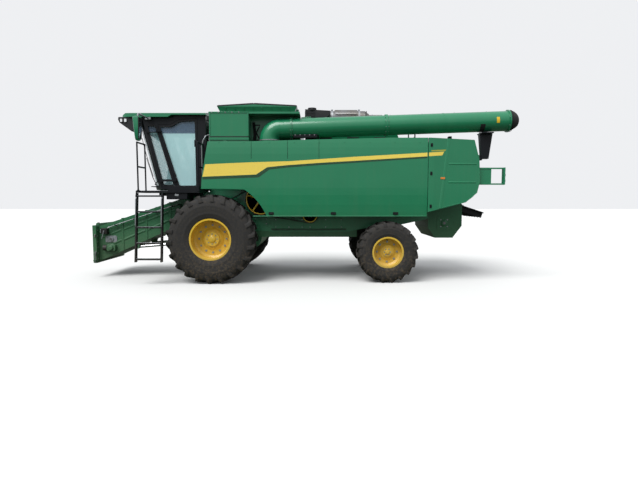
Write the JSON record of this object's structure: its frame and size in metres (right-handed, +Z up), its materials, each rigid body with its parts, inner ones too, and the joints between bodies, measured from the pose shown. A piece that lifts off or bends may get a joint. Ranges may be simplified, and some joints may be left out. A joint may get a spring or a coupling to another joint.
{
  "type": "combine harvester",
  "caption": "Self-propelled combine harvester with bare feeder house, cab, grain tank, swinging unloading tube, hinged side shields, steered rear axle and straw chopper.",
  "frame": {"origin": "on the ground under the middle of the whole machine's box", "axes": "+X to the rear (the feeder house points to -X), +Y to the machine's right side, +Z up"},
  "size_m": [9.3058, 3.4906, 3.7452],
  "materials": {
    "green_paint": "satin, a little dusty",
    "yellow_paint": "satin",
    "black_paint": "satin",
    "tyre_rubber": "matt",
    "grey_steel": "dull",
    "chromed_steel": "polished",
    "silver_steel": "satin",
    "spout_rubber": "matt",
    "tinted_glass": "clear, tinted",
    "lamp_lens": "gloss",
    "seat_fabric": "woven",
    "dark_plastic": "matt"
  },
  "bodies": {
    "chassis": {"main_frame": "green_paint", "separator_body": "green_paint", "front_axle": "green_paint", "rear_axle": "green_paint", "cab_frame": "black_paint", "cab_roof": "green_paint", "light_bar": "black_paint", "lamps": "lamp_lens", "cab_glass": "tinted_glass", "seat": "seat_fabric", "controls": "dark_plastic", "mirrors": "green_paint", "platform": "black_paint", "grain_tank": "green_paint", "loading_auger": "grey_steel", "auger_turret": "green_paint", "auger_rest": "black_paint", "engine_deck": "green_paint", "engine_block": "grey_steel", "exhaust": "silver_steel", "air_cleaner": "black_paint", "cooling_box": "black_paint", "rear_hood": "green_paint", "chopper_housing": "green_paint", "rear_ladder": "black_paint", "belt_drives": "yellow_paint", "elevators": "green_paint"},
    "front_wheel_left": {"front_rim_left": "yellow_paint", "front_tyre_left": "tyre_rubber"},
    "knuckle_left": {"knuckle_left": "green_paint"},
    "rear_wheel_left": {"rear_rim_left": "yellow_paint", "rear_tyre_left": "tyre_rubber"},
    "front_wheel_right": {"front_rim_right": "yellow_paint", "front_tyre_right": "tyre_rubber"},
    "knuckle_right": {"knuckle_right": "green_paint"},
    "rear_wheel_right": {"rear_rim_right": "yellow_paint", "rear_tyre_right": "tyre_rubber"},
    "tie_rod": {"tie_rod": "grey_steel"},
    "cleaning_fan": {"cleaning_fan": "grey_steel"},
    "feeder_house": {"feeder_house": "green_paint", "feeder_face": "green_paint"},
    "feeder_drum": {"feeder_drum": "grey_steel"},
    "lift_barrels": {"lift_barrels": "black_paint"},
    "lift_rods": {"lift_rods": "chromed_steel"},
    "cab_door": {"cab_door": "black_paint", "door_glass": "tinted_glass"},
    "ladder": {"ladder": "black_paint"},
    "tank_lid_front": {"tank_lid_front": "black_paint"},
    "tank_lid_rear": {"tank_lid_rear": "black_paint"},
    "unloading_auger": {"unloading_auger": "green_paint", "auger_spout": "spout_rubber"},
    "rotary_screen": {"rotary_screen": "grey_steel"},
    "shield_left": {"shield_left": "green_paint"},
    "shield_right": {"shield_right": "green_paint"},
    "chopper_rotor": {"chopper_rotor": "grey_steel"},
    "tailboard": {"tailboard": "black_paint"}
  },
  "joints": [
    {"name": "front_wheel_left_spin", "type": "hinge", "parent": "chassis", "child": "front_wheel_left", "pos_m": [-1.8, -1.35, 0.93], "axis": [0, 1, 0], "continuous": true},
    {"name": "steer_left", "type": "hinge", "parent": "chassis", "child": "knuckle_left", "pos_m": [1.9, -1, 0.65], "axis": [0, 0, 1], "range_deg": [-35, 35]},
    {"name": "rear_wheel_left_spin", "type": "hinge", "parent": "knuckle_left", "child": "rear_wheel_left", "pos_m": [1.9, -1.3, 0.65], "axis": [0, 1, 0], "continuous": true},
    {"name": "front_wheel_right_spin", "type": "hinge", "parent": "chassis", "child": "front_wheel_right", "pos_m": [-1.8, 1.35, 0.93], "axis": [0, 1, 0], "continuous": true},
    {"name": "steer_right", "type": "hinge", "parent": "chassis", "child": "knuckle_right", "pos_m": [1.9, 1, 0.65], "axis": [0, 0, 1], "range_deg": [-35, 35]},
    {"name": "rear_wheel_right_spin", "type": "hinge", "parent": "knuckle_right", "child": "rear_wheel_right", "pos_m": [1.9, 1.3, 0.65], "axis": [0, 1, 0], "continuous": true},
    {"name": "tie_rod_slide", "type": "slide", "parent": "chassis", "child": "tie_rod", "axis": [0, 1, 0], "range_m": [-0.12, 0.12]},
    {"name": "cleaning_fan_spin", "type": "hinge", "parent": "chassis", "child": "cleaning_fan", "pos_m": [-1.18, 0, 0.93], "axis": [0, 1, 0], "continuous": true},
    {"name": "feeder_tilt", "type": "hinge", "parent": "chassis", "child": "feeder_house", "pos_m": [-2.42, 0, 1.6], "axis": [0, 1, 0], "range_deg": [-6, 22]},
    {"name": "feeder_drum_spin", "type": "hinge", "parent": "feeder_house", "child": "feeder_drum", "pos_m": [-4.28, 0, 0.86353], "axis": [0, 1, 0], "continuous": true},
    {"name": "lift_barrel_tilt", "type": "hinge", "parent": "chassis", "child": "lift_barrels", "pos_m": [-2.01, 0, 0.82], "axis": [0, 1, 0], "range_deg": [-6, 18]},
    {"name": "lift_rod_slide", "type": "slide", "parent": "lift_barrels", "child": "lift_rods", "axis": [-0.9967, 0, -0.081], "range_m": [-0.1, 0.3]},
    {"name": "cab_door_hinge", "type": "hinge", "parent": "chassis", "child": "cab_door", "pos_m": [-3.06, -0.976, 2.7], "axis": [0, 0, -1], "range_deg": [0, 95]},
    {"name": "ladder_swing", "type": "hinge", "parent": "chassis", "child": "ladder", "pos_m": [-3.345, -1.494, 1.7], "axis": [0, 0, -1], "range_deg": [0, 90]},
    {"name": "tank_lid_front_hinge", "type": "hinge", "parent": "chassis", "child": "tank_lid_front", "pos_m": [-1.674, 0, 3.6893], "axis": [0, -1, 0], "range_deg": [0, 100]},
    {"name": "tank_lid_rear_hinge", "type": "hinge", "parent": "chassis", "child": "tank_lid_rear", "pos_m": [0.004, 0, 3.6893], "axis": [0, 1, 0], "range_deg": [0, 100]},
    {"name": "auger_swing", "type": "hinge", "parent": "chassis", "child": "unloading_auger", "pos_m": [-0.6, -1.19, 2.99], "axis": [0, 0, -1], "range_deg": [0, 105]},
    {"name": "rotary_screen_spin", "type": "hinge", "parent": "chassis", "child": "rotary_screen", "pos_m": [0.9, 1.35, 2.4], "axis": [0, 1, 0], "continuous": true},
    {"name": "shield_left_lift", "type": "hinge", "parent": "chassis", "child": "shield_left", "pos_m": [0.4, -1.426, 2.965], "axis": [-1, 0, 0], "range_deg": [0, 75]},
    {"name": "shield_right_lift", "type": "hinge", "parent": "chassis", "child": "shield_right", "pos_m": [0.4, 1.426, 2.965], "axis": [1, 0, 0], "range_deg": [0, 75]},
    {"name": "chopper_rotor_spin", "type": "hinge", "parent": "chassis", "child": "chopper_rotor", "pos_m": [3.26, 0, 1.23], "axis": [0, 1, 0], "continuous": true},
    {"name": "tailboard_tilt", "type": "hinge", "parent": "chassis", "child": "tailboard", "pos_m": [3.63, 0, 1.61], "axis": [0, 1, 0], "range_deg": [-15, 45]}
  ],
  "couplings": [
    {"joint": "steer_right", "follows": "steer_left", "ratio": 1},
    {"joint": "tie_rod_slide", "follows": "steer_left", "m_per_rad": 0.19},
    {"joint": "lift_barrel_tilt", "follows": "feeder_tilt", "ratio": 0.755},
    {"joint": "lift_rod_slide", "follows": "feeder_tilt", "m_per_rad": 0.755}
  ]
}
